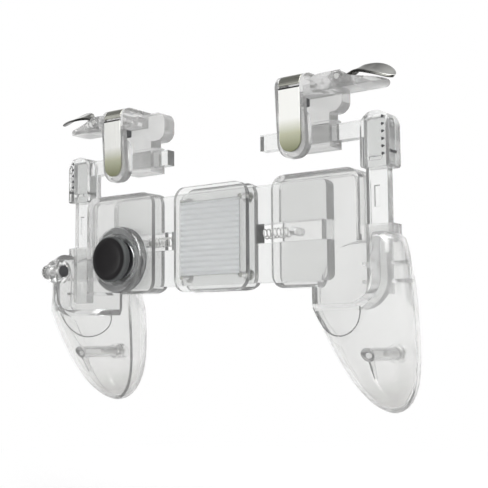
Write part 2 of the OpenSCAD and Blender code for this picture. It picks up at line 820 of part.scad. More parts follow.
// Outer face of the tongue and arch, from the foot up and back over the top
tongue_path = concat(
    [[tongue_y(tongue_low), tongue_low]],
    arc([front_top_y + arch_r, tongue_top], arch_r, 180, 90, 8),
    [[plate_back, arch_top]]
);

// Underside of the arch's haunch, where the tongue leaves it
haunch_z = arch_low - tongue_t;

module tongue_profile() {
    back = tongue_y(arch_low) + tongue_t;
    polygon(concat(
        tongue_path,
        arc([rear_y1 - arch_r, tongue_top], arch_r, 90, 0, 8),
        [[rear_y1, rear_low], [rear_y0, rear_low], [rear_y0, arch_low], [screen_y - screen_gap, arch_low],
         [back, haunch_z], [tongue_y(tongue_low) + tongue_t, tongue_low]]
    ));
}

// Outline of the tongue from the front, with a round foot at z
module tongue_outline(w, z) {
    translate([0, z + w / 2]) circle(d = w);
    translate([-w / 2, z + w / 2]) square([w, FAR]);
}

strip_foot = tongue_low + (tongue_w - strip_w) / 2 + strip_t;

// Shallow seat for the strip and the top plate
module strip_seat() {
    intersection() {
        span_y(-FAR, FAR) tongue_outline(strip_w + 2 * FIT_GAP, strip_foot);
        span_x(-strip_w, strip_w) polygon(band(tongue_path, 1, -strip_t - FIT_GAP));
    }
}

beam_top = arch_low + beam_h;
nose_z = arch_low + beam_h * 0.2;
saddle_z = arch_low + beam_h * 0.36;
NOSE_L = 6;
BEAM_R = 2.4;

// Beam from the front: flat below, falling from the pin to a low saddle and a round nose
module beam_outline() {
    w = tongue_w / 2;
    polygon(concat(
        [[w, arch_low]],
        bezier([[beam_l - NOSE_L, arch_low], [beam_l - NOSE_L / 3, arch_low],
            [beam_l, (arch_low + nose_z) / 2], [beam_l, nose_z]], 8),
        bezier([[beam_l, nose_z], [beam_l - NOSE_L, saddle_z], [pin_u + neck_l, saddle_z],
            [pin_u + pin_d / 4, beam_top]], 10, 1),
        bezier([[w + NOSE_L, beam_top], [w + NOSE_L / 3, beam_top],
            [w, beam_top - BEAM_R / 2], [w, beam_top - BEAM_R]], 6)
    ));
}

NOSE_SHARE = 1.3;

// Beam from above: rounded at the nose
module beam_plan() {
    mid = (beam_y0 + beam_y1) / 2;
    half = beam_d / 2;
    nose = half * NOSE_SHARE;
    polygon(concat(
        [[0, beam_y1], [0, beam_y0], [beam_l - nose, beam_y0]],
        [for (a = [-80 : 10 : 80]) [beam_l - nose + nose * cos(a), mid + half * sin(a)]],
        [[beam_l - nose, beam_y1]]
    ));
}

// Pocket for the lever's hub, its spring and the foot of its neck
pocket_y0 = beam_y0 + wall;
hub_y0 = pocket_y0 + slide_gap;
hub_y1 = hub_y0 + hub_w;
spring_y0 = hub_y1 + slide_gap;
spring_y1 = spring_y0 + coil_l;
pocket_y1 = spring_y1 + slide_gap;
pocket_u0 = pin_u - hub_d / 2 - slide_gap;
pocket_u1 = pin_u + (neck_l + crown_u) / 2 - slide_gap;
pocket_floor = pin_z - hub_d / 2 - slide_gap;

module trigger_beam() {
    intersection() {
        span_y(beam_y0, beam_y1) beam_outline();
        translate([0, 0, arch_low - 1]) linear_extrude(beam_h + 2) beam_plan();
        span_x(0, beam_l + 1) round_rect([beam_y0, arch_low], [beam_y1, beam_top], BEAM_R);
    }
}

DIMPLE_D = 5;
DIMPLE_SINK = 0.6;
REAR_R = 4;
REAR_STEP = 0.6;
PIN_COVER = 1;

module trigger_housing(side) {
    in_trigger(side) color(CLEAR_GREY) difference() {
        union() {
            intersection() {
                span_x(-tongue_w / 2, tongue_w / 2) tongue_profile();
                span_y(-FAR, FAR) tongue_outline(tongue_w, tongue_low);
            }
            span_y(rear_y0, rear_y1)
                round_rect([-rear_in, rear_low], [rear_out, arch_top - REAR_STEP], REAR_R);
            trigger_beam();
            box([-carriage_w, rear_y0, carriage_z1 - 1], [carriage_w, rear_y1, rear_low + 1]);
            box([-carriage_w, carriage_y0, carriage_z0], [carriage_w, carriage_y1, carriage_z1]);
        }
        strip_seat();
        box([-FAR, post_y - rail_gap, rail_z - rail_h / 2 - rail_gap],
            [FAR, post_y + post_t + rail_gap, rail_z + rail_h / 2 + rail_gap]);
        box([pocket_u0, pocket_y0, pocket_floor], [pocket_u1, pocket_y1, FAR]);
        rod_y(pin_u, pin_z, beam_y0 - 1, beam_y1 - PIN_COVER, pin_d + 2 * FIT_GAP);
        rod_y(pin_u, pin_z, beam_y0 - 1, beam_y0 + DIMPLE_SINK, DIMPLE_D);
    }
}

module contact_strip(side) {
    straight = [[tongue_y(tongue_low), tongue_low], [front_top_y, tongue_top]];
    in_trigger(side) color(STEEL) translate([0, front_top_y, tongue_top]) rotate([-strip_lift, 0, 0])
        translate([0, -front_top_y, -tongue_top]) intersection() {
            span_y(-FAR, FAR) intersection() {
                tongue_outline(strip_w, strip_foot);
                translate([-FAR, tongue_top - FAR]) square([2 * FAR, FAR - strip_gap / 2]);
            }
            span_x(-strip_w, strip_w) polygon(band(straight, 0, -strip_t));
        }
}

module top_plate(side) {
    bend = [for (p = tongue_path) if (p[1] >= tongue_top - FIT_GAP) p];
    in_trigger(side) color(STEEL) intersection() {
        span_x(-strip_w / 2, strip_w / 2) polygon(band(bend, 0, -strip_t));
        translate([-FAR, -FAR, tongue_top + strip_gap / 2]) cube(2 * FAR);
        translate([-FAR, -FAR, 0]) cube([2 * FAR, FAR + plate_back - FIT_GAP, FAR]);
    }
}

PAD_INSET = 0.5;
edge_pad_z1 = haunch_z - FIT_GAP;
edge_pad_z0 = edge_pad_z1 - edge_pad_h;

// Clear block behind the tongue that meets the screen
module screen_pad(side) {
    in_trigger(side) color(CLEAR) intersection() {
        span_y(-FAR, screen_y - screen_gap) intersection() {
            tongue_outline(tongue_w - 2 * PAD_INSET, tongue_low + PAD_INSET);
            translate([0, edge_pad_z0 - FIT_GAP]) mirror([0, 1])
                tongue_outline(tongue_w - 2 * PAD_INSET, 0);
        }
        span_x(-tongue_w, tongue_w) polygon([
            [tongue_y(tongue_low) + tongue_t + FIT_GAP, tongue_low],
            [tongue_y(phone_top) + tongue_t + FIT_GAP, phone_top], [0, phone_top], [0, tongue_low]
        ]);
    }
}

module edge_pad(side) {
    w = tongue_w / 2 - 2 * PAD_INSET;
    in_trigger(side) color(DARK) span_x(-w, w) polygon([
        [tongue_y(edge_pad_z0) + tongue_t + FIT_GAP, edge_pad_z0], [screen_y - screen_gap, edge_pad_z0],
        [screen_y - screen_gap, edge_pad_z1], [tongue_y(edge_pad_z1) + tongue_t + FIT_GAP, edge_pad_z1]
    ]);
}

module lever_pin(side) {
    in_trigger(side) color(STEEL)
        rod_y(pin_u, pin_z, beam_y0 + DIMPLE_SINK + FIT_GAP, beam_y1 - PIN_COVER - FIT_GAP, pin_d);
}

module lever_spring(side) {
    in_trigger(side) color(STEEL) translate([pin_u, spring_y0, pin_z]) rotate([0, 0, 90])
        wound_wire(coil_d / 2, coil_l, coil_curls, coil_wire, "lever spring");
}

CROWN_SHARE = 0.62;
LEAF_FULL = 0.45;
TIP_BLUNT = 0.02;
TIP_SHARE = 0.65;

// Middle line of the lever from the side: out of the hub, up the neck, over the crown and down to the tip
lever_path = concat(
    bezier([[pin_d / 2, 0], [neck_l, 0], [(neck_l + crown_u) / 2, lever_rise], [crown_u, lever_rise]], 8),
    bezier([[crown_u, lever_rise], [(crown_u + lever_reach) / 2, lever_rise],
        [lever_reach - 1.5 * lever_t, lever_tip + lever_t], [lever_reach, lever_tip]], 12, 1)
);
lever_y = (hub_y0 + hub_y1) / 2;

// How far up the neck u is, from 0 at its foot to 1 at the crown
function up_neck(u) = ease(min(1, max(0, (u - neck_l) / (crown_u - neck_l))));

// How far along the paddle u is, from 0 at the crown to 1 at the tip
function along_paddle(u) = max(0, (u - crown_u) / (lever_reach - crown_u));

// Half width of the lever: narrow neck, then a leaf that is widest near its middle
function lever_half(u) =
    let (s = along_paddle(u), crown = lever_w * CROWN_SHARE)
    s == 0 ? (neck_w + (crown - neck_w) * up_neck(u)) / 2
    : s < LEAF_FULL ? (crown + (lever_w - crown) * sin(90 * s / LEAF_FULL)) / 2
    : lever_w / 2 * sqrt(max(TIP_BLUNT, 1 - pow((s - LEAF_FULL) / (1 - LEAF_FULL), 2)));

module lever_sheet() {
    steps = len(lever_path) - 1;
    skin([for (i = [0 : steps])
        let (p = lever_path[i], t = lever_t * (1 - (1 - TIP_SHARE) * i / steps) / 2,
            top = beside(lever_path, t)[i], low = beside(lever_path, -t)[i],
            h = lever_half(p[0]), drop = h * tan(paddle_lean) * up_neck(p[0]))
        [[top[0], -h, top[1] - drop], [low[0], -h, low[1] - drop],
         [low[0], h, low[1] + drop], [top[0], h, top[1] + drop]]]);
}

module lever(side) {
    in_trigger(side) color(STEEL) translate([pin_u, lever_y, pin_z])
        rotate([0, side == LEFT ? -lever_lift : 0, 0]) difference() {
            union() {
                lever_sheet();
                rod_y(0, 0, -hub_w / 2, hub_w / 2, hub_d);
            }
            rod_y(0, 0, -FAR, FAR, pin_d + 2 * pin_gap);
        }
}

// Clamp knob through the left jaw
knob_x = jaw_face + slide_gap;
KNURL_D = 1;

module clamp_knob() {
    on_side(LEFT) color(CLEAR) translate([knob_x, knob_y, knob_z]) rotate([0, 90, 0]) {
        cylinder(d = flange_d, h = flange_t);
        difference() {
            cylinder(d = knob_d, h = flange_t + knob_l);
            for (i = [0 : knurls - 1]) rotate(360 * i / knurls)
                translate([knob_d / 2 + KNURL_D / 4, 0, flange_t]) cylinder(d = KNURL_D, h = FAR);
        }
        translate([0, 0, end_x + shoe_t + FIT_GAP - knob_x])
            cylinder(d = stud_d, h = knob_x - end_x - shoe_t - FIT_GAP + flange_t / 2);
    }
}

module clamp_shoe() {
    on_side(LEFT) color(DARK) translate([end_x + FIT_GAP, knob_y, knob_z]) rotate([0, 90, 0])
        cylinder(d = shoe_d, h = shoe_t);
}

// Thumb stick, revolved about an axis that points at the player
stick_z = ledge_z + stick_up;
floor_top = seat_t + floor_t;
web_low = floor_top + slide_gap;
web_top = web_low + web_t;
skirt_low = web_top + slide_gap;
cap_low = ring_h + slide_gap;
cap_top = cap_low + cap_h;
ring_round = 2;
stick_sweep = stick_travel * sqrt(2);
foot_hole_r = foot_d / 2 + stick_sweep + slide_gap / 2;
web_d = ring_bore - 2 * (stick_travel + slide_gap);
skirt_d = ring_bore - 2 * (stick_sweep + slide_gap);

module on_stick(lift = SEAT_GAP) translate([-stick_x, -lift, stick_z]) rotate([90, 0, 0]) children();

module stick_base_ring() {
    color(CLEAR) on_stick() rotate_extrude($fn = 96) polygon(concat(
        [[foot_hole_r, seat_t], [ring_d / 2, seat_t]],
        arc([ring_d / 2 - ring_round, ring_h - ring_round], ring_round, 0, 90, 6),
        [[ring_bore / 2, ring_h], [ring_bore / 2, floor_top], [foot_hole_r, floor_top]]
    ));
}

module stick_seat_pad() {
    color([0.85, 0.86, 0.87]) on_stick() difference() {
        cylinder(d = ring_d - 1, h = seat_t);
        translate([0, 0, -1]) cylinder(r = foot_hole_r + FIT_GAP, h = seat_t + 2);
    }
}

// Web that holds the stem in the middle, with a slot for the stem's upright travel
module stick_spring_web() {
    slot_r = stem_d / 2 + slide_gap / 2;
    color(CLEAR) on_stick() translate([0, 0, web_low]) linear_extrude(web_t) difference() {
        circle(d = web_d);
        for (y = [-stick_travel, stick_travel]) translate([0, y]) circle(r = slot_r);
        square([2 * slot_r, 2 * stick_travel], center = true);
    }
}

module stick_cap() {
    color(DARK) on_stick() rotate_extrude($fn = 96) polygon(concat(
        [[0, skirt_low], [skirt_d / 2, skirt_low], [skirt_d / 2, cap_low], [cap_d / 2, cap_low]],
        arc([cap_d / 2 - cap_r, cap_top - cap_r], cap_r, 0, 90, 6),
        bezier([[cap_d / 2 - 2 * cap_r, cap_top], [cap_d / 4, cap_top - cap_dish],
            [cap_d / 8, cap_top - cap_dish], [0, cap_top - cap_dish]], 8)
    ));
}

module stick_stem() {
    color([0.35, 0.36, 0.38]) on_stick() {
        translate([0, 0, seat_t / 2]) cylinder(d = foot_d, h = floor_top - seat_t / 2);
        translate([0, 0, seat_t / 2]) cylinder(d = stem_d, h = skirt_low - seat_t / 2);
    }
}

bridge_frame();
bridge_front_cover();
bridge_rear_cover();
phone_pad();
bridge_screws();
bridge_spring(RIGHT);  // right_spring
bridge_spring(LEFT);  // left_spring
front_shell(RIGHT);  // right_front_shell
rear_shell(RIGHT);  // right_rear_shell
grip_screw(RIGHT);  // right_grip_screw
front_shell(LEFT);  // left_front_shell
rear_shell(LEFT);  // left_rear_shell
grip_screw(LEFT);  // left_grip_screw
post(RIGHT);  // right_post
trigger_arm(RIGHT);  // right_trigger_arm
post(LEFT);  // left_post
trigger_arm(LEFT);  // left_trigger_arm
trigger_housing(RIGHT);  // right_trigger_housing
contact_strip(RIGHT);  // right_contact_strip
top_plate(RIGHT);  // right_top_plate
edge_pad(RIGHT);  // right_edge_pad
screen_pad(RIGHT);  // right_screen_pad
lever_pin(RIGHT);  // right_lever_pin
lever_spring(RIGHT);  // right_lever_spring
lever(RIGHT);  // right_lever
trigger_housing(LEFT);  // left_trigger_housing
contact_strip(LEFT);  // left_contact_strip
top_plate(LEFT);  // left_top_plate
edge_pad(LEFT);  // left_edge_pad
screen_pad(LEFT);  // left_screen_pad
lever_pin(LEFT);  // left_lever_pin
lever_spring(LEFT);  // left_lever_spring
lever(LEFT);  // left_lever
clamp_knob();
clamp_shoe();
stick_base_ring();
stick_seat_pad();
stick_spring_web();
stick_cap();
stick_stem();
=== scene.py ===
import json
import math

import bmesh
import bpy
import numpy as np
from mathutils import Matrix, Vector
from mathutils.bvhtree import BVHTree


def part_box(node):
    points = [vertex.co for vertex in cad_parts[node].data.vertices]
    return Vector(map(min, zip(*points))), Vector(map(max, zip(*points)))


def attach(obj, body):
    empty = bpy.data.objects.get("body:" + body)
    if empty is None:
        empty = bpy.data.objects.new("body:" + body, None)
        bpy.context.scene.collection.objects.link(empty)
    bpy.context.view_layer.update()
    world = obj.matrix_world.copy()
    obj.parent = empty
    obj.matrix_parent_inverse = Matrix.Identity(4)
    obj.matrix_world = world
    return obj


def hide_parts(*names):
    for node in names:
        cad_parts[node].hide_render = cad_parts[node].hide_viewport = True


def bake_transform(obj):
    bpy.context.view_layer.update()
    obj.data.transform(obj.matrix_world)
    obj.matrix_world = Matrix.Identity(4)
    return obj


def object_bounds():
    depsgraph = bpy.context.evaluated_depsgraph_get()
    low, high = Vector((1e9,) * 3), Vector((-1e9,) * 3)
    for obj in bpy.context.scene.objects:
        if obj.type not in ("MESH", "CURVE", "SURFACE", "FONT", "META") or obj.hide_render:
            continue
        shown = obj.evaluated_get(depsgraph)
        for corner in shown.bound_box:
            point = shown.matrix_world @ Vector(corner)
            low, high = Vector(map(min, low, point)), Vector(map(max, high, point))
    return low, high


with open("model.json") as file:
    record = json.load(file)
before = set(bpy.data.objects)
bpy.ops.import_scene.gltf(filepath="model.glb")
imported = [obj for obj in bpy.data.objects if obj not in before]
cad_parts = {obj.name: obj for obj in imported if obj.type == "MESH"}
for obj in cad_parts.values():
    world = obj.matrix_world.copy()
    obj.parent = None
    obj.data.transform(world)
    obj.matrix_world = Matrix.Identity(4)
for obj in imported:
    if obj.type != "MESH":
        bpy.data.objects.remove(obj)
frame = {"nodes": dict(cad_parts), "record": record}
CAD_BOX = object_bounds()
NODES = frame["nodes"]
RECORD = frame["record"]
SLOT_OF = {part["node"]: part["material_slot"] for part in RECORD["subparts"]}
BODY_OF = {node: body for body, nodes in RECORD["behaviour"]["bodies"].items() for node in nodes}
SIDES = ("right", "left")
MM = 0.001
WHITE = (1, 1, 1, 1)

# Camera, worked out from the photograph's perspective
CAMERA_PLACE = Vector((213.2, -271.75, -34.55)) * MM
CAMERA_AZIMUTH = math.radians(35.94)
CAMERA_ELEVATION = math.radians(-5.28)
CAMERA_ROLL = math.radians(-0.43)
CAMERA_LENS = 68.78
SENSOR = 36.0
CLIP_START = 0.01

# Floor, in metres: how far below the object, its size, and how far from its middle the white starts and is
# full; then the share of white near the object, and the grey of the rest
FLOOR_DROP = 45 * MM
FLOOR_SIZE = 6.0
FLOOR_WHITE = (0.08, 0.28)
FLOOR_SHARE = 0.5
FLOOR_GREY = 0.93

# Lamps: name, place, width and height in metres, power in watts
LAMPS = (
    ("key", (0.8, -0.4, 0.75), 0.36, 1.3, 9),
    ("fill", (-0.95, -0.25, 0.3), 0.4, 0.7, 3),
    ("top", (0.35, 0.25, 0.95), 0.5, 0.5, 3),
)


def add_camera():
    data = bpy.data.cameras.new("camera")
    data.lens = CAMERA_LENS
    data.sensor_width = SENSOR
    data.sensor_fit = "HORIZONTAL"
    data.clip_start = CLIP_START
    camera = bpy.data.objects.new("camera", data)
    bpy.context.scene.collection.objects.link(camera)
    az, el = CAMERA_AZIMUTH, CAMERA_ELEVATION
    back = Vector((math.sin(az) * math.cos(el), -math.cos(az) * math.cos(el), math.sin(el)))
    right = Vector((math.cos(az), math.sin(az), 0))
    up = back.cross(right)
    c, s = math.cos(CAMERA_ROLL), math.sin(CAMERA_ROLL)
    axes = (c * right + s * up, c * up - s * right, back)
    camera.matrix_world = Matrix.Translation(CAMERA_PLACE) @ Matrix(axes).transposed().to_4x4()
    bpy.context.scene.camera = camera


def area_light(name, place, width, height, power):
    data = bpy.data.lights.new(name, "AREA")
    data.energy = power
    data.shape = "RECTANGLE"
    data.size, data.size_y = width, height
    lamp = bpy.data.objects.new(name, data)
    bpy.context.scene.collection.objects.link(lamp)
    lamp.location = place
    lamp.rotation_euler = (-Vector(place)).to_track_quat("-Z", "Y").to_euler()


def add_lights():
    for lamp in LAMPS:
        area_light(*lamp)


# Most of a noise texture's values lie between these
NOISE_SPAN = (0.3, 0.7)


class Tree:
    """Short ways to add linked nodes to a material or world."""

    def __init__(self, owner):
        owner.use_nodes = True
        self.nodes, self.links = owner.node_tree.nodes, owner.node_tree.links

    def add(self, kind, inputs=(), **settings):
        node = self.nodes.new("ShaderNode" + kind)
        for name, value in settings.items():
            setattr(node, name, value)
        for socket, value in dict(inputs).items():
            if isinstance(value, bpy.types.NodeSocket):
                self.links.new(value, node.inputs[socket])
            else:
                node.inputs[socket].default_value = value
        return node

    def math(self, operation, a, b=0.0):
        return self.add("Math", {0: a, 1: b}, operation=operation).outputs[0]

    def spread(self, value, low, high, to_low=0.0, to_high=1.0, smooth=False):
        """What runs from to_low to to_high while a value runs from low to high."""
        kind = "SMOOTHSTEP" if smooth else "LINEAR"
        inputs = {"Value": value, "From Min": low, "From Max": high, "To Min": to_low, "To Max": to_high}
        return self.add("MapRange", inputs, interpolation_type=kind).outputs["Result"]

    def seen(self):
        """1 where the camera sees it, straight or by way of metal or glass."""
        path = self.add("LightPath").outputs
        ways = self.math("ADD", path["Is Glossy Ray"], path["Is Transmission Ray"])
        return self.math("MINIMUM", self.math("ADD", ways, path["Is Camera Ray"]), 1.0)

    def place(self, scale=(1, 1, 1)):
        """Place on the object, in metres times scale."""
        coord = self.add("TexCoord").outputs["Object"]
        return self.add("VectorMath", {0: coord, 1: scale}, operation="MULTIPLY").outputs["Vector"]

    def off_axis(self, axis, plane):
        """Distance from a line through the point axis, measured in the plane across it."""
        around = self.add("VectorMath", {0: self.place(), 1: axis}, operation="SUBTRACT").outputs["Vector"]
        flat = self.add("VectorMath", {0: around, 1: plane}, operation="MULTIPLY").outputs["Vector"]
        return self.add("VectorMath", {0: flat}, operation="LENGTH").outputs["Value"]

    def noise(self, scale, detail=3.0):
        """Noise with so many waves to the metre, the same on all axes or one number for each."""
        scale = scale if isinstance(scale, tuple) else (scale, scale, scale)
        inputs = {"Vector": self.place(scale), "Scale": 1.0, "Detail": detail}
        return self.add("TexNoise", inputs).outputs["Fac"]

    def ramp(self, value, stops):
        """Colour along a value, from pairs of position and colour."""
        node = self.add("ValToRGB", {"Fac": value})
        points = node.color_ramp.elements
        while len(points) < len(stops):
            points.new(0.5)
        for point, (position, colour) in zip(points, stops):
            point.position, point.color = position, (*colour, 1)
        return node.outputs["Color"]


# Dark cards of the studio: the azimuth of each one's middle, how near to it the grey starts and is full,
# and where a white lamp shows in its middle
CARDS = ((36, 0.72, 0.90, 0.975), (192, 0.78, 0.93, 0.985))
CARD_GREY = 0.03
# Grey ceiling that metal shows: its grey, the heights where it starts and is full, and the same across
CEILING_GREY = 0.22
CEILING_RISE = (0.3, 0.8)
CEILING_SIDE = (0.0, -0.4)
# Grey band that clear plastic shows: its grey, and the heights over which it comes and goes
BAND_GREY = 0.12
BAND_COMES = (0.36, 0.46)
BAND_GOES = (0.85, 0.7)
# Strip light that shows in highlights, from the right up to overhead: the level plane it lies along,
# how far from that plane it starts and is full, the same across and in height, and its strength
STRIP_PLANE = (-0.447, -0.895, 0.0)
STRIP_EDGE = (0.24, 0.15)
STRIP_ACROSS = (-0.15, 0.0)
STRIP_RISE = (0.35, 0.5)
STRIP_STRENGTH = 6.0
# Strength of the world as a lamp
SOFT_STRENGTH = 0.6


def add_world():
    """A white studio, with a dark card at each side for clear plastic and a grey ceiling for metal."""
    world = bpy.data.worlds.new("studio")
    bpy.context.scene.world = world
    tree = Tree(world)
    tree.nodes.clear()
    path = tree.add("LightPath").outputs
    way = tree.add("TexCoord").outputs["Generated"]
    across, _, height = tree.add("SeparateXYZ", {0: way}).outputs
    ceiling = tree.spread(height, *CEILING_RISE, 0.0, 1.0 - CEILING_GREY, smooth=True)
    left = tree.math("MULTIPLY", tree.spread(across, *CEILING_SIDE, smooth=True), path["Is Glossy Ray"])
    shade = tree.math("SUBTRACT", 1.0, tree.math("MULTIPLY", ceiling, left))
    band = tree.math("MULTIPLY", tree.spread(height, *BAND_COMES), tree.spread(height, *BAND_GOES))
    band = tree.math("MULTIPLY", band, path["Is Transmission Ray"])
    shade = tree.math("MULTIPLY", shade, tree.spread(band, 0.0, 1.0, 1.0, BAND_GREY))
    for azimuth, start, full, lamp in CARDS:
        middle = (math.cos(math.radians(azimuth)), math.sin(math.radians(azimuth)), 0)
        near = tree.add("VectorMath", {0: way, 1: middle}, operation="DOT_PRODUCT").outputs["Value"]
        card = tree.spread(near, start, full, 1.0, CARD_GREY, smooth=True)
        lit = tree.spread(near, lamp, 0.5 + lamp / 2, smooth=True)
        shade = tree.math("MULTIPLY", shade, tree.math("MAXIMUM", card, lit))
    off = tree.add("VectorMath", {0: way, 1: STRIP_PLANE}, operation="DOT_PRODUCT").outputs["Value"]
    strip = tree.spread(tree.math("ABSOLUTE", off), *STRIP_EDGE, 0.0, STRIP_STRENGTH, smooth=True)
    strip = tree.math("MULTIPLY", strip, tree.spread(across, *STRIP_ACROSS))
    strip = tree.math("MULTIPLY", strip, tree.spread(height, *STRIP_RISE))
    shade = tree.math("ADD", shade, tree.math("MULTIPLY", strip, path["Is Glossy Ray"]))
    white = tree.add("Background", {"Color": WHITE, "Strength": 1.0}).outputs[0]
    cards = tree.add("Background", {"Color": WHITE, "Strength": shade}).outputs[0]
    soft = tree.add("Background", {"Color": WHITE, "Strength": SOFT_STRENGTH}).outputs[0]
    glossy = tree.math("ADD", path["Is Glossy Ray"], path["Is Transmission Ray"])
    inner = tree.add("MixShader", {0: glossy, 1: soft, 2: cards}).outputs[0]
    outer = tree.add("MixShader", {0: path["Is Camera Ray"], 1: inner, 2: white}).outputs[0]
    tree.add("OutputWorld", {"Surface": outer})


def add_floor():
    """Matte by the object, where its shadow falls, and white further off."""
    low = CAD_BOX[0][2] - FLOOR_DROP
    bpy.ops.mesh.primitive_plane_add(size=FLOOR_SIZE, location=(0, 0, low))
    floor = bpy.context.object
    floor.name = "floor"
    material = bpy.data.materials.new("pale_floor")
    tree = Tree(material)
    tree.nodes.clear()
    far = tree.add("VectorMath", {0: tree.place()}, operation="LENGTH").outputs["Value"]
    share = tree.spread(far, *FLOOR_WHITE, FLOOR_SHARE, 1.0, smooth=True)
    matte = tree.add("BsdfDiffuse", {"Color": (FLOOR_GREY, FLOOR_GREY, FLOOR_GREY, 1)}).outputs[0]
    white = tree.add("Emission", {"Color": WHITE, "Strength": 1.0}).outputs[0]
    fac = tree.math("MULTIPLY", tree.seen(), share)
    mixed = tree.add("MixShader", {0: fac, 1: matte, 2: white}).outputs[0]
    tree.add("OutputMaterial", {"Surface": mixed})
    floor.data.materials.append(material)


class Finish(Tree):
    """A material on the principled shader, with its constants set on the shader's own sockets."""

    def __init__(self, name, colour, roughness, metallic=0.0, **sockets):
        self.material = bpy.data.materials.new(name)
        super().__init__(self.material)
        self.shader = self.nodes["Principled BSDF"]
        values = {"Base Color": (*colour, 1), "Roughness": roughness, "Metallic": metallic}
        values.update({socket.replace("_", " "): value for socket, value in sockets.items()})
        for socket, value in values.items():
            self.shader.inputs[socket].default_value = value

    def rough(self, scale, low, high):
        """Roughness that drifts between two values. The plain one is left for what reads no nodes."""
        drift = self.spread(self.noise(scale), *NOISE_SPAN, low, high)
        self.links.new(drift, self.shader.inputs["Roughness"])
        return self

    def bump(self, height, distance):
        """Relief whose full height is a distance in metres."""
        node = self.add("Bump", {"Height": height, "Distance": distance})
        self.links.new(node.outputs["Normal"], self.shader.inputs["Normal"])
        return self

    def colour(self, socket):
        self.links.new(socket, self.shader.inputs["Base Color"])
        return self


# Lever, in millimetres from its pin: points on its middle line, out and then up
NECK_FOOT = Vector((1.0, 0.0))
NECK_END = Vector((3.8, 0.0))
CROWN = Vector((7.6, 2.1))
TIP = Vector((19.6, -2.2))
# Where the middle line comes to the tip from, in thicknesses
CURL = Vector((-1.5, 1.0))
# Thickness of its solid, the share of that at the tip, and the thickness of the sheet under the solid's top
LEVER_T = 1.4
TIP_SHARE = 0.65
SHEET_T = 1.2
# Width of the leaf, the neck and the crown, and where along the leaf it is widest. The last keeps the tip
# from closing to a point
LEVER_W = 9.4
NECK_W = 3.4
CROWN_W = 5.83
LEAF_FULL = 0.45
LEAF_LEAST = 0.02
# Depth of the hollow on top and below, how soon along the leaf it is full, and how square the edges are
DISH = 0.62
DISH_BELOW = 0.25
DISH_RISE = 3
EDGE_POWER = 6
# Slope from front to back, and how far each lever is lifted
LEVER_LEAN = math.tan(math.radians(29))
LEVER_LIFT = {"right": 0.0, "left": math.radians(13)}
# Hub: radius, bore, width and the cut of its corners
HUB_R, HUB_BORE, HUB_W = 2.1, 1.05, 3.6
HUB_EDGE = 0.25
# Steps along the neck and the leaf, across the sheet and round the hub, and those that make the front edge
NECK_STEPS = 14
LEAF_STEPS = 30
SHEET_STEPS = 14
HUB_STEPS = 40
FRONT_EDGE = 1

# Heights between which painted shade darkens the grips' plastic, and how far its cloudy drifts move that,
# as a share
GRIP_FOOT = -60 * MM
GRIP_TOP = -30 * MM
GRIP_DRIFT = 0.22
# Radii between which the knob's grooves lie, where its clear plastic is painted dark as shade
KNOB_GROOVES = (2.2 * MM, 3.0 * MM)
# How far in from the side of the thumb stick's cap the painted lighter side starts
CAP_EDGE = 1.5 * MM
# Heights between which painted reflection warms the contact strips to bronze, and the height of the black
# band of painted shade at their top
CONTACT_LOW = 24 * MM
CONTACT_HIGH = 47 * MM
CONTACT_BAND = 0.55 * MM
# How far past the lever's crown the painted highlight fades, in millimetres, and the painted shade of the
# back edge
CROWN_FADE = 3
BACK_SHADE = 0.4


def clear_plastic():
    look = Finish("clear_plastic", (0.925, 0.93, 0.925), 0.06, IOR=1.49, Transmission_Weight=0.9)
    look.rough(70, 0.03, 0.1)
    look.bump(look.noise(45, 1.0), 0.0002)
    return look.material


def ring_plastic():
    """Thick clear ring of the thumb stick, greyer in the body as painted shade, with broad highlights."""
    # Painted shade: a grey base colour for the ring's clear body
    look = Finish("ring_plastic", (0.66, 0.665, 0.665), 0.11, IOR=1.6, Transmission_Weight=0.92)
    look.rough(150, 0.08, 0.15)
    look.bump(look.noise(120, 1.0), 0.0001)
    return look.material


def knob_plastic(axis):
    """Clear plastic with painted shade in the grooves round the knob, by the distance from its axis."""
    light, dark = (0.84, 0.84, 0.83), (0.05, 0.05, 0.045)
    look = Finish("knob_plastic", light, 0.05, IOR=1.5, Transmission_Weight=0.8)
    # Painted shade: dark colour between these radii, in the grooves
    share = look.spread(look.off_axis(axis, (0, 1, 1)), *KNOB_GROOVES)
    look.colour(look.ramp(share, [(0.0, light), (0.1, dark), (0.5, dark), (0.8, light)]))
    return look.rough(150, 0.03, 0.08).material


def painted_shade_beads():
    """Dark beads of painted shade along the recess, the seam and the block's ring, where steep plastic
    looks dark.
    """
    look = Finish("painted_shade_beads", (0.30, 0.30, 0.295), 0.2, IOR=1.49, Transmission_Weight=0.5)
    look.rough(300, 0.12, 0.3)
    return look.material


def grip_plastic():
    """Clear plastic that is cloudy in soft drifts, with painted shade that darkens it towards the grip's
    foot.
    """
    look = Finish("grip_plastic", (0.955, 0.955, 0.95), 0.12, IOR=1.49, Transmission_Weight=0.88)
    height = look.add("SeparateXYZ", {0: look.place()}).outputs["Z"]
    share = look.spread(height, GRIP_FOOT, GRIP_TOP)
    drift = look.spread(look.noise((55, 55, 40), 2.0), *NOISE_SPAN, -GRIP_DRIFT, GRIP_DRIFT)
    # Painted shade: the colour darkens towards the grip's foot
    look.colour(look.ramp(look.math("ADD", share, drift), [
        (0.0, (0.78, 0.777, 0.765)), (0.22, (0.88, 0.88, 0.87)), (0.45, (0.955, 0.955, 0.95)),
        (1.0, (0.95, 0.952, 0.947))]))
    look.rough(70, 0.03, 0.11)
    look.bump(look.noise(45, 1.0), 0.0002)
    return look.material


def grey_clear_plastic():
    """Clear plastic with a grey, slightly milky body."""
    look = Finish("grey_clear_plastic", (0.80, 0.80, 0.795), 0.08, IOR=1.49, Transmission_Weight=0.76)
    look.rough(120, 0.03, 0.12)
    look.bump(look.noise(90, 1.0), 0.0001)
    return look.material


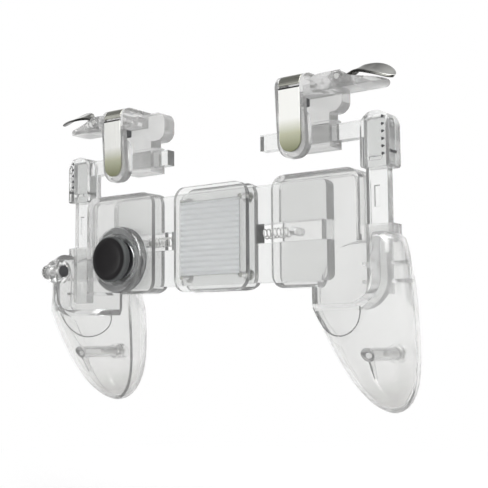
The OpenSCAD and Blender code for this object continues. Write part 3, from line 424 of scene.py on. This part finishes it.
def plain_steel():
    look = Finish("plain_steel", (0.62, 0.62, 0.61), 0.28, 1.0)
    return look.rough(900, 0.2, 0.36).material


def bright_steel():
    look = Finish("bright_steel", (0.95, 0.95, 0.94), 0.5, 1.0)
    return look.rough(900, 0.45, 0.62).material


def strip_steel(top):
    """Steel brushed lengthwise, with painted reflection that warms it to bronze and darkens it towards its
    foot, and painted shade as a black band at its top.
    """
    look = Finish("strip_steel", (0.9, 0.9, 0.88), 0.16, 1.0)
    height = look.add("SeparateXYZ", {0: look.place()}).outputs["Z"]
    share = look.spread(height, CONTACT_LOW, CONTACT_HIGH)
    # Painted reflection: dark olive and bronze towards the foot, white above
    metal = look.ramp(share, [
        (0.0, (0.20, 0.21, 0.12)), (0.3, (0.52, 0.53, 0.40)), (0.52, (0.93, 0.93, 0.90))])
    # Painted shade: a black band at the top, under the plate
    band = look.math("LESS_THAN", height, top - CONTACT_BAND)
    look.colour(look.add("VectorMath", {0: metal, "Scale": band}, operation="SCALE").outputs["Vector"])
    return look.rough((4000, 4000, 60), 0.1, 0.24).material


def polished_steel(pin, middle):
    """Mirror steel with painted shade dark at the neck's foot, a painted highlight on the crown, and
    painted shade towards the back edge.
    """
    look = Finish("polished_steel", (0.70, 0.70, 0.665), 0.1, 1.0)
    across, deep, _ = look.add("SeparateXYZ", {0: look.place()}).outputs
    out = look.math("ABSOLUTE", look.math("SUBTRACT", across, pin))
    share = look.spread(out, NECK_END.x * MM, (CROWN.x + CROWN_FADE) * MM)
    # Painted shade at the neck's foot and a painted highlight on the crown
    dark, bright, plain = (0.08, 0.08, 0.07), (0.9, 0.9, 0.86), (0.66, 0.66, 0.63)
    neck = look.ramp(share, [(0.0, dark), (0.3, bright), (0.6, bright), (1.0, plain)])
    half = LEVER_W / 2 * MM
    # Painted shade towards the lever's back edge
    shaded = look.spread(look.math("SUBTRACT", deep, middle), -half, half, 1.0, BACK_SHADE)
    look.colour(look.add("VectorMath", {0: neck, "Scale": shaded}, operation="SCALE").outputs["Vector"])
    return look.rough(500, 0.06, 0.14).material


def painted_shade_steel():
    """Darkened copy of the levers' steel as painted shade, on their underside and front edge."""
    look = Finish("painted_shade_steel", (0.06, 0.06, 0.055), 0.25, 1.0)
    return look.rough(500, 0.2, 0.32).material


def plate_steel():
    look = Finish("plate_steel", (0.45, 0.45, 0.40), 0.3, 1.0)
    return look.rough((60, 3000, 3000), 0.22, 0.36).material


def dark_rubber():
    look = Finish("dark_rubber", (0.05, 0.05, 0.053), 0.6)
    return look.bump(look.noise(2500), 0.00003).material


def soft_pad():
    """Translucent silicone with a fine grain."""
    look = Finish("soft_pad", (0.80, 0.815, 0.82), 0.4, Transmission_Weight=0.4)
    look.rough(300, 0.3, 0.5)
    return look.bump(look.noise(1500), 0.00002).material


def cap_black(axis, radius):
    """Black rubber, painted lighter grey round the side of the cap, where its highlight shows."""
    black, painted_side_light = (0.0065, 0.0057, 0.0065), (0.075, 0.079, 0.079)
    look = Finish("cap_black", black, 0.45, Specular_IOR_Level=0.14)
    # Painted highlight: lighter grey towards the cap's side
    share = look.spread(look.off_axis(axis, (1, 0, 1)), radius - CAP_EDGE, radius)
    look.colour(look.ramp(share, [(0.0, black), (0.4, black), (0.8, painted_side_light)]))
    look.rough(1200, 0.36, 0.5)
    return look.bump(look.noise(3500), 0.00002).material


def stem_grey():
    look = Finish("stem_grey", (0.06, 0.06, 0.065), 0.55)
    return look.bump(look.noise(2500), 0.00002).material


# Angles in degrees from which an edge stays sharp: on a node, on a spring and on a mesh built here
SHARP = 30
SPRING_SHARP = 70
BUILT_SHARP = 50
# Points nearer than this, in metres, are one, and faces within this angle, in degrees, are one flat
SAME_POINT = 1e-6
SAME_FLAT = 0.2


def smooth_faces(work, sharp):
    """Smooth shading, but for open edges and those from an angle of sharp degrees."""
    for face in work.faces:
        face.smooth = True
    for edge in work.edges:
        edge.smooth = len(edge.link_faces) == 2 and edge.calc_face_angle(0) < math.radians(sharp)


def joined_copy(node, sharp):
    """A copy of a node's mesh with its corners joined and its curved faces smooth."""
    mesh = NODES[node].data.copy()
    if "custom_normal" in mesh.attributes:
        mesh.attributes.remove(mesh.attributes["custom_normal"])
    work = bmesh.new()
    work.from_mesh(mesh)
    bmesh.ops.remove_doubles(work, verts=work.verts, dist=SAME_POINT)
    bmesh.ops.dissolve_limit(work, angle_limit=math.radians(SAME_FLAT), verts=work.verts, edges=work.edges)
    smooth_faces(work, sharp)
    work.to_mesh(mesh)
    work.free()
    return mesh


def add_piece(name, mesh, body, material, slot, *replaced):
    """A new piece, which rides on a body when it is given one."""
    mesh.materials.clear()
    mesh.materials.append(material)
    piece = bpy.data.objects.new(name, mesh)
    bpy.context.scene.collection.objects.link(piece)
    if body:
        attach(piece, body)
    if replaced:
        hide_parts(*replaced)
    return piece


def stand_in(node, mesh, material):
    """A piece that stands for a node."""
    return add_piece(node + "_piece", mesh, BODY_OF[node], material, SLOT_OF[node], node)


def add_trim(name, mesh, node, material):
    """A piece that rides with a node."""
    add_piece(name, mesh, BODY_OF[node], material, SLOT_OF[node])


# Pieces that touch are drawn in by this much, so that light crosses a film of air between them
PIECE_GAP = 0.02 * MM


def finished(node, material, bevel, segments=2):
    """A piece that stands for a node, with smooth facets, and edges rounded by bevel millimetres."""
    piece = stand_in(node, joined_copy(node, SHARP), material)
    gap = piece.modifiers.new("gap", "DISPLACE")
    gap.strength = -PIECE_GAP
    gap.mid_level = 0.0
    edge = piece.modifiers.new("edges", "BEVEL")
    edge.width = bevel * MM
    edge.segments = segments
    edge.limit_method = "ANGLE"
    edge.angle_limit = math.radians(SHARP)
    edge.harden_normals = True
    return piece


def sprung(node, material, axis, forward):
    """A spring between a fixed and a moving body, as a rounder copy that rides on neither; its ends along
    the axis go unused.
    """
    low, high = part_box(node)
    middle = (low + high) / 2
    start, end = Vector(middle), Vector(middle)
    start[axis], end[axis] = (low[axis], high[axis]) if forward else (high[axis], low[axis])
    mesh = joined_copy(node, SPRING_SHARP)
    piece = add_piece(node + "_piece", mesh, None, material, SLOT_OF[node], node)
    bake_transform(piece)
    rounder = piece.modifiers.new("rounder", "SUBSURF")
    rounder.levels = rounder.render_levels = 1


def turns(steps):
    """Angles of equal steps once round."""
    return [2 * math.pi * i / steps for i in range(steps)]


def bezier(a, b, c, d, steps):
    """Points on a curve from a to d, without a itself."""
    spots = [(1 - i / steps, i / steps) for i in range(1, steps + 1)]
    return [s ** 3 * a + 3 * s * s * t * b + 3 * s * t * t * c + t ** 3 * d for s, t in spots]


def lever_half(u):
    """Half width: a narrow neck, then a leaf that is widest near its middle."""
    if u <= CROWN.x:
        return (NECK_W + (CROWN_W - NECK_W) * up_neck(u)) / 2
    s = along_leaf(u)
    if s < LEAF_FULL:
        return (CROWN_W + (LEVER_W - CROWN_W) * math.sin(math.pi / 2 * s / LEAF_FULL)) / 2
    return LEVER_W / 2 * math.sqrt(max(LEAF_LEAST, 1 - ((s - LEAF_FULL) / (1 - LEAF_FULL)) ** 2))


def up_neck(u):
    """How far up the neck's bend a point is, from 0 at its end to 1 at the crown."""
    s = min(1.0, max(0.0, (u - NECK_END.x) / (CROWN.x - NECK_END.x)))
    return (1 - math.cos(math.pi * s)) / 2


def along_leaf(u):
    """How far along the leaf a point is, from 0 at the crown to 1 at the tip."""
    return max(0.0, (u - CROWN.x) / (TIP.x - CROWN.x))


def sheet_rings():
    """Rings round a thin dished sheet, each from the front edge over the top and back below."""
    bend = Vector(((NECK_END.x + CROWN.x) / 2, CROWN.y))
    crest = Vector(((CROWN.x + TIP.x) / 2, CROWN.y))
    path = [NECK_FOOT] + bezier(NECK_FOOT, NECK_END, bend, CROWN, NECK_STEPS)
    path += bezier(CROWN, crest, TIP + CURL * LEVER_T, TIP, LEAF_STEPS)
    shares = [2 * k / SHEET_STEPS - 1 for k in range(SHEET_STEPS + 1)]
    rings = []
    for i, point in enumerate(path):
        ahead = (path[min(i + 1, len(path) - 1)] - path[max(i - 1, 0)]).normalized()
        normal = Vector((-ahead.y, ahead.x))
        top = LEVER_T * (1 - (1 - TIP_SHARE) * i / (len(path) - 1)) / 2
        half, lean = lever_half(point.x), LEVER_LEAN * up_neck(point.x)
        hollow = min(1.0, DISH_RISE * along_leaf(point.x)) * min(1.0, half / (LEVER_W / 2))

        def spot(s, face):
            round_off = math.sqrt(max(0.0, 1 - abs(s) ** EDGE_POWER))
            dish = (DISH if face > 0 else DISH_BELOW) * hollow
            off = top - SHEET_T / 2 * (1 - face * round_off) - dish * (1 - s * s)
            u, w = point + normal * off
            return u, s * half, w + s * half * lean

        rings.append([spot(s, 1) for s in shares] + [spot(s, -1) for s in shares[-2:0:-1]])
    return rings


def hub_rings():
    """Rings round the hub, each a rectangle with cut corners, turned about the pin."""
    low, high, end, edge = HUB_BORE, HUB_R, HUB_W / 2, HUB_EDGE
    loop = [(low + edge, -end), (high - edge, -end), (high, edge - end), (high, end - edge),
            (high - edge, end), (low + edge, end), (low, end - edge), (low, edge - end)]
    return [[(r * math.cos(a), y, r * math.sin(a)) for r, y in loop] for a in turns(HUB_STEPS)]


def ring_faces(rings, first, closed):
    """Four-sided faces between rings, round a loop of rings or with both ends filled."""
    n, count = len(rings[0]), len(rings)
    faces = []
    for i in range(count if closed else count - 1):
        a, b = first + i * n, first + (i + 1) % count * n
        faces += [(a + k, a + (k + 1) % n, b + (k + 1) % n, b + k) for k in range(n)]
    if not closed:
        last = first + (count - 1) * n
        faces += [tuple(range(first, first + n)), tuple(range(last, last + n))[::-1]]
    return faces


def smooth_mesh(name, points, faces):
    """A mesh with its faces turned outwards, and smooth but for its corners."""
    mesh = bpy.data.meshes.new(name)
    mesh.from_pydata(points, [], faces)
    work = bmesh.new()
    work.from_mesh(mesh)
    bmesh.ops.recalc_face_normals(work, faces=work.faces)
    smooth_faces(work, BUILT_SHARP)
    work.to_mesh(mesh)
    work.free()
    return mesh


def ring_mesh(name, rings, closed=False):
    return smooth_mesh(name, [spot for ring in rings for spot in ring], ring_faces(rings, 0, closed))


def tube(name, path, radius, sides=12, facing=(0, 1, 0), closed=False):
    """A round bead along a path of points, in metres, which lies on a face turned to facing."""
    rings = []
    for i, point in enumerate(path):
        after = path[(i + 1) % len(path)] if closed else path[min(i + 1, len(path) - 1)]
        before = path[i - 1] if closed else path[max(i - 1, 0)]
        ahead = (after - before).normalized()
        over = ahead.cross(Vector(facing)).normalized()
        front = over.cross(ahead)
        rings.append([point + radius * (math.cos(a) * over + math.sin(a) * front) for a in turns(sides)])
    return ring_mesh(name, rings, closed)


def surface(node):
    """A node's mesh, ready for finding where a ray meets it."""
    work = bmesh.new()
    work.from_mesh(NODES[node].data)
    found = BVHTree.FromBMesh(work)
    work.free()
    return found


def outward(side):
    return 1 if side == "right" else -1


# Where rays start that find a face, in metres: in front of the part, and beside it
IN_FRONT = -0.1
BESIDE = 0.2

# Thumb recess, in millimetres: middle across on the right, middle height, radius of the rim, radius of its
# dark bead of painted shade, and the degrees round it that the bead passes
RECESS_X, RECESS_Z, RECESS_R = 57.8, -26.0, 10.75
RIM_R = 0.2
RIM_DEGREES = range(186, 356, 4)


def recess_rim(side):
    """A dark bead of painted shade along the half-moon, laid on the front of the grip."""
    shell, out = surface(side + "_front_shell"), outward(side)
    path = []
    for degrees in RIM_DEGREES:
        a = math.radians(degrees)
        x, z = out * (RECESS_X + RECESS_R * math.cos(a)), RECESS_Z + RECESS_R * math.sin(a)
        hit = shell.ray_cast(Vector((x * MM, IN_FRONT, z * MM)), Vector((0, 1, 0)))[0]
        if hit:
            path.append(hit)
    return tube(side + "_recess_rim", path, RIM_R * MM)


# Seam between the shells, in millimetres: where it lies, how far back it leans per unit below the middle of
# the recess, how far in front of it the painted-shade bead lies, the bead's radius, its foot, its step down
# and its sides
SEAM_Y, SEAM_LEAN, SEAM_AHEAD = 5, 0.38, 0.05
SEAM_R = 0.09
SEAM_FOOT, SEAM_STEP = -63.0, -1.0
SEAM_SIDES = 8
# Its two runs, on the outer side and the inner one: where rays start across, their way, and the run's top
SEAM_RUNS = ((BESIDE, -1, -10.0), (0.0, 1, -28.0))


def grip_seam(side):
    """A fine dark bead of painted shade just under the skin along the parting line, down the outer side and
    up the inner one.
    """
    shell, out = surface(side + "_front_shell"), outward(side)
    ways = []
    for start, way, top in SEAM_RUNS:
        toward = Vector((way * out, 0, 0))
        points = []
        for z in np.arange(top, SEAM_FOOT, SEAM_STEP):
            y = SEAM_Y + SEAM_LEAN * max(0.0, RECESS_Z - z) - SEAM_AHEAD
            hit = shell.ray_cast(Vector((start * out, y * MM, z * MM)), toward)[0]
            if hit:
                points.append(hit + toward * SEAM_R * MM)
        ways.append(points)
    return tube(side + "_grip_seam", ways[0] + ways[1][::-1], SEAM_R * MM, SEAM_SIDES)


# Marks of painted shade on the outer face of the block, in millimetres: a ring and a slit below it, the
# radius of the dark bead that makes each, and the points along it
MARK_Y, MARK_Z, MARK_R = 2.5, 33.4, 1.5
SLIT_Y, SLIT_Z = (1.0, 4.7), 23.9
MARK_BEAD, SLIT_BEAD = 0.22, 0.55
MARK_STEPS, SLIT_STEPS = 32, 9


def on_block(side, spots):
    """Points on the outer face of the block."""
    block, out = surface(side + "_trigger_arm"), outward(side)
    starts = [Vector((BESIDE * out, y * MM, z * MM)) for y, z in spots]
    hits = [block.ray_cast(start, Vector((-out, 0, 0)))[0] for start in starts]
    return [hit for hit in hits if hit]


# Painted shade: a dark ring bead on the block's outer face
def block_ring(side):
    spots = [(MARK_Y + MARK_R * math.cos(a), MARK_Z + MARK_R * math.sin(a)) for a in turns(MARK_STEPS)]
    return tube(side + "_block_ring", on_block(side, spots), MARK_BEAD * MM, facing=(1, 0, 0), closed=True)


# Painted shade: a dark bar in the block's slit
def block_slit(side):
    spots = [(y, SLIT_Z) for y in np.linspace(*SLIT_Y, SLIT_STEPS)]
    return tube(side + "_block_slit", on_block(side, spots), SLIT_BEAD * MM, facing=(1, 0, 0))


# Grip teeth on the front of the block beside the phone's end, in millimetres: how many, the height of the
# top one, their pitch, half height and stand-off, where each starts across and its length, its sides, and
# pairs of a share of that length and the tooth's size there
TEETH, TEETH_TOP, TEETH_PITCH = 6, 35.6, 2.5
TOOTH_HALF, TOOTH_OUT = 0.6, 0.24
TOOTH_X, TOOTH_L = 72.2, 1.15
TOOTH_SIDES = 16
TOOTH_FORM = ((0.0, 0.6), (0.1, 0.95), (0.2, 1.0), (0.6, 0.62), (0.9, 0.3), (1.0, 0.12))


def block_teeth(side):
    """A row of small wedges, wide at the phone's end and pointed outwards."""
    block, out = surface(side + "_trigger_arm"), outward(side)
    points, faces = [], []
    for i in range(TEETH):
        middle = TEETH_TOP - TEETH_PITCH * i
        rings = []
        for share, size in TOOTH_FORM:
            x = out * (TOOTH_X + TOOTH_L * share) * MM
            face = block.ray_cast(Vector((x, IN_FRONT, middle * MM)), Vector((0, 1, 0)))[0].y
            rise, half = size * TOOTH_OUT * MM, size * TOOTH_HALF * MM
            rings.append([Vector((x, face - rise * math.cos(a), middle * MM + half * math.sin(a)))
                          for a in turns(TOOTH_SIDES)])
        faces += ring_faces(rings, len(points), False)
        points += [spot for ring in rings for spot in ring]
    return smooth_mesh(side + "_block_teeth", points, faces)


# Clamp knob, in millimetres: how far in from its outer end, radius there and depth of its grooves; then how
# many grooves, and the faces round each
KNOB_FORM = ((0.02, 2.1, 0.1), (0.1, 2.5, 0.3), (0.4, 2.97, 0.62), (2.7, 2.97, 0.62), (2.96, 2.75, 0.4),
             (3.02, 3.2, 0.0), (3.1, 3.6, 0.0), (3.28, 3.78, 0.0), (3.72, 3.78, 0.0), (3.9, 3.6, 0.0),
             (3.98, 3.2, 0.0), (3.98, 1.48, 0.0))
KNURLS = 16
KNURL_STEPS = 8


def knob_mesh():
    """The knob with deep rounded grooves, its flange and its stud."""
    low, high = [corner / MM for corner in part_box("clamp_knob")]
    middle = (low + high) / 2
    stud_end = high.x - low.x - KNOB_FORM[0][0]
    rings = []
    for inward, radius, groove in KNOB_FORM + ((stud_end, KNOB_FORM[-1][1], 0.0),):
        ring = []
        for a in turns(KNURLS * KNURL_STEPS):
            r = radius - groove * (0.5 - 0.5 * math.cos(KNURLS * a))
            y, z = middle.y + r * math.cos(a), middle.z + r * math.sin(a)
            ring.append(Vector((low.x + inward, y, z)) * MM)
        rings.append(ring)
    return ring_mesh("clamp_knob", rings)


# Phone pad, in millimetres: pitch, depth and steps of its ribs, places across its rounded edge, the radius
# of that edge, and the cut of its back edge
RIB_PITCH, RIB_DEPTH, RIB_STEPS = 2.0, 0.4, 10
PAD_ENDS = (0.0, 0.04, 0.14, 0.28, 0.45)
PAD_EDGE = PAD_ENDS[-1]
PAD_BACK = 0.1


def ribbed_pad():
    """The phone pad with rounded ribs across its face and a rounded edge."""
    low, high = [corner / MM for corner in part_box("phone_pad")]
    inset = Vector((1, 1, 1)) * PIECE_GAP / MM
    low, high = low + inset, high - inset

    def fall(place, a, b):
        """How far the face falls back near either end."""
        near = max(0.0, PAD_EDGE - min(place - a, b - place))
        return PAD_EDGE - math.sqrt(max(0.0, PAD_EDGE ** 2 - near ** 2))

    across = [low.x + e for e in PAD_ENDS] + [high.x - e for e in PAD_ENDS[::-1]]
    upward = [low.z + e for e in PAD_ENDS[:-1]]
    upward += list(np.arange(low.z + PAD_EDGE, high.z - PAD_EDGE, RIB_PITCH / RIB_STEPS))
    upward += [high.z - e for e in PAD_ENDS[::-1]]
    rings = []
    for x in across:
        front = []
        for z in upward:
            rib = (0.5 - 0.5 * math.cos(2 * math.pi * (z - low.z) / RIB_PITCH)) ** 2
            y = low.y + max(RIB_DEPTH * rib, fall(x, low.x, high.x), fall(z, low.z, high.z))
            front.append((x, y, z))
        back = [(x, high.y - PAD_BACK, high.z), (x, high.y, high.z - PAD_BACK),
                (x, high.y, low.z + PAD_BACK), (x, high.y - PAD_BACK, low.z)]
        rings.append([Vector(spot) * MM for spot in front + back])
    return ring_mesh("phone_pad", rings)


def lever_pin(side):
    hinge = next(j for j in RECORD["behaviour"]["joints"] if j["name"] == side + "_lever_hinge")
    return hinge["pos_m"]


def lever_middle(side):
    low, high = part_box(side + "_lever")
    return (low[1] + high[1]) / 2


def lever_mesh(side):
    """The lever as a thin pressed sheet on a bored hub."""
    out, pin, middle = outward(side), lever_pin(side), lever_middle(side)
    c, s = math.cos(LEVER_LIFT[side]), math.sin(LEVER_LIFT[side])
    sheet, hub = sheet_rings(), hub_rings()
    faces = ring_faces(sheet, 0, False) + ring_faces(hub, len(sheet) * len(sheet[0]), True)
    places = []
    for u, y, w in [p for ring in sheet + hub for p in ring]:
        places.append((pin[0] + out * (u * c - w * s) * MM, middle + y * MM, pin[2] + (u * s + w * c) * MM))
    return smooth_mesh(side + "_lever", places, faces)


def add_lever(side, below):
    """The lever's piece, with a darkened copy of its steel as painted shade below its sheet and on its
    front edge.
    """
    steel = polished_steel(lever_pin(side)[0], lever_middle(side))
    piece = stand_in(side + "_lever", lever_mesh(side), steel)
    piece.data.materials.append(below)
    around = 2 * SHEET_STEPS
    sheet_faces = (len(sheet_rings()) - 1) * around
    for face in piece.data.polygons[:sheet_faces]:
        # Painted shade: faces below the sheet and on its front edge take the darkened steel
        face.material_index = int(not FRONT_EDGE <= face.index % around < SHEET_STEPS)


def dress():
    """Every piece of the object, with its material."""
    clear, grip, grey = clear_plastic(), grip_plastic(), grey_clear_plastic()
    ring, rim = ring_plastic(), painted_shade_beads()
    steel, bright, plate, below = plain_steel(), bright_steel(), plate_steel(), painted_shade_steel()
    strip = strip_steel(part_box("right_contact_strip")[1][2])
    rubber, pad, stem = dark_rubber(), soft_pad(), stem_grey()
    for side in SIDES:
        finished(side + "_front_shell", grip, 0.45, 3)
        finished(side + "_rear_shell", grip, 0.45, 3)
        finished(side + "_post", clear, 0.5, 3)
        finished(side + "_trigger_arm", clear, 0.6, 3)
        finished(side + "_trigger_housing", grey, 0.5, 3)
        finished(side + "_contact_strip", strip, 0.15)
        finished(side + "_top_plate", plate, 0.15)
        add_lever(side, below)
        shell = side + "_front_shell"
        # Dark beads of painted shade along the thumb recess and the seam
        add_trim(side + "_recess_rim", recess_rim(side), shell, rim)
        add_trim(side + "_grip_seam", grip_seam(side), shell, rim)
        arm = side + "_trigger_arm"
        # Painted shade on the block: a dark ring bead and a dark slit bar
        add_trim(side + "_block_ring", block_ring(side), arm, rim)
        add_trim(side + "_block_slit", block_slit(side), arm, rubber)
        add_trim(side + "_block_teeth", block_teeth(side), arm, rubber)
        sprung(side + "_spring", steel, 0, side == "right")
        sprung(side + "_lever_spring", steel, 1, False)
        finished(side + "_edge_pad", rubber, 0.4, 3)
        finished(side + "_screen_pad", clear, 0.4, 3)
        finished(side + "_grip_screw", bright, 0.1)
        finished(side + "_lever_pin", steel, 0.1)
    for node in ("bridge_frame", "bridge_front_cover", "bridge_rear_cover"):
        finished(node, clear, 0.6, 3)
    finished("bridge_screws", plate, 0.1)
    stand_in("phone_pad", ribbed_pad(), pad)
    finished("stick_seat_pad", pad, 0.2, 3)
    low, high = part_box("clamp_knob")
    stand_in("clamp_knob", knob_mesh(), knob_plastic((low + high) / 2))
    finished("clamp_shoe", rubber, 0.2)
    finished("stick_base_ring", ring, 0.35, 3)
    finished("stick_spring_web", stem, 0.1)
    low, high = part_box("stick_cap")
    finished("stick_cap", cap_black((low + high) / 2, (high.x - low.x) / 2), 0.9, 5)
    finished("stick_stem", stem, 0.2)


add_camera()
add_lights()
add_world()
add_floor()
bpy.context.scene.view_settings.view_transform = "Standard"
dress()
